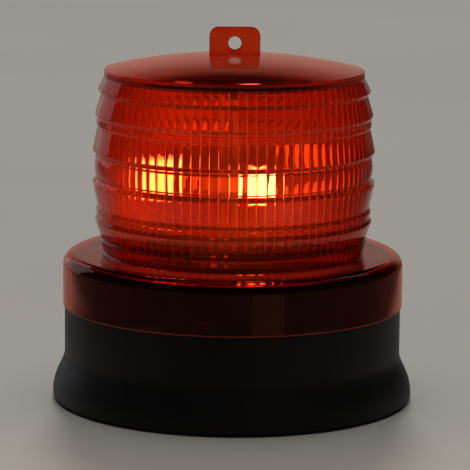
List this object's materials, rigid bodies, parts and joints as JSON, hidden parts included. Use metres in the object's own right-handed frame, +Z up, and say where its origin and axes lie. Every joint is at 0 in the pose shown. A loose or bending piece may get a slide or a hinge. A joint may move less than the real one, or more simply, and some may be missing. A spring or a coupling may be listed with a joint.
{
  "type": "strobe warning light",
  "caption": "Red strobe warning light with a ribbed lens that twists off a flared black base, a magnet and a power button underneath, and a tab to hang it by.",
  "frame": {"origin": "centre of the foot, on the floor it rests on", "axes": "+Z up along the axis of the lens; -Y to the front, which the hanging tab faces"},
  "size_m": [0.1262, 0.1262, 0.1304],
  "materials": {
    "black_plastic": "fine satin, moulded black",
    "white_plastic": "satin, moulded white",
    "plated_steel": "bright zinc plate",
    "black_rubber": "soft matt black",
    "ferrite": "sintered dark grey",
    "cell_sleeve": "shrunk-on green sleeve",
    "lead_insulation": "soft red insulation",
    "button_plastic": "polished red",
    "board_resin": "green solder mask",
    "chip_resin": "matt black",
    "capacitor_sleeve": "dark blue sleeve",
    "coil_winding": "lacquered copper winding",
    "resistor_body": "buff",
    "lamp_resin": "clear resin, lit from within",
    "panel_resin": "clear resin over a dark board",
    "silicon": "dark blue, glossy",
    "red_lens": "polished transparent red"
  },
  "bodies": {
    "base": {"base_shell": "black_plastic", "bottom_plate": "black_plastic", "plate_screws_set": "plated_steel", "foot_ring": "black_rubber", "magnet_cup": "plated_steel", "magnet_ring": "ferrite", "magnet_bolt": "plated_steel", "magnet_nut": "plated_steel", "battery_holder": "black_plastic", "battery_cells": "cell_sleeve", "battery_contacts": "plated_steel", "supply_leads": "lead_insulation", "battery_plug": "black_plastic", "switch_body": "black_plastic", "switch_collar": "black_plastic", "switch_nut": "plated_steel", "lens_gasket": "black_rubber", "support_post": "black_plastic", "post_nut": "plated_steel", "circuit_board": "board_resin", "driver_chip": "chip_resin", "storage_capacitor": "capacitor_sleeve", "charge_coil": "coil_winding", "small_resistors": "resistor_body", "lower_spacer": "white_plastic", "lamp_board": "white_plastic", "lamps": "lamp_resin", "lamp_legs": "plated_steel", "lamp_leads": "lead_insulation", "upper_spacer": "white_plastic", "panel_tray": "black_plastic", "tray_screw": "plated_steel", "solar_panel": "panel_resin", "solar_cells": "silicon", "panel_leads": "lead_insulation"},
    "lens": {"ribbed_lens": "red_lens", "dome_cap": "red_lens"},
    "button": {"power_button": "button_plastic"}
  },
  "joints": [
    {"name": "lens_twist", "type": "hinge", "parent": "base", "child": "lens", "pos_m": [0, 0, 0.04], "axis": [0, 0, 1], "range_deg": [0, 20]},
    {"name": "button_press", "type": "slide", "parent": "base", "child": "button", "axis": [0, 0, 1], "range_m": [0, 0.002]}
  ]
}
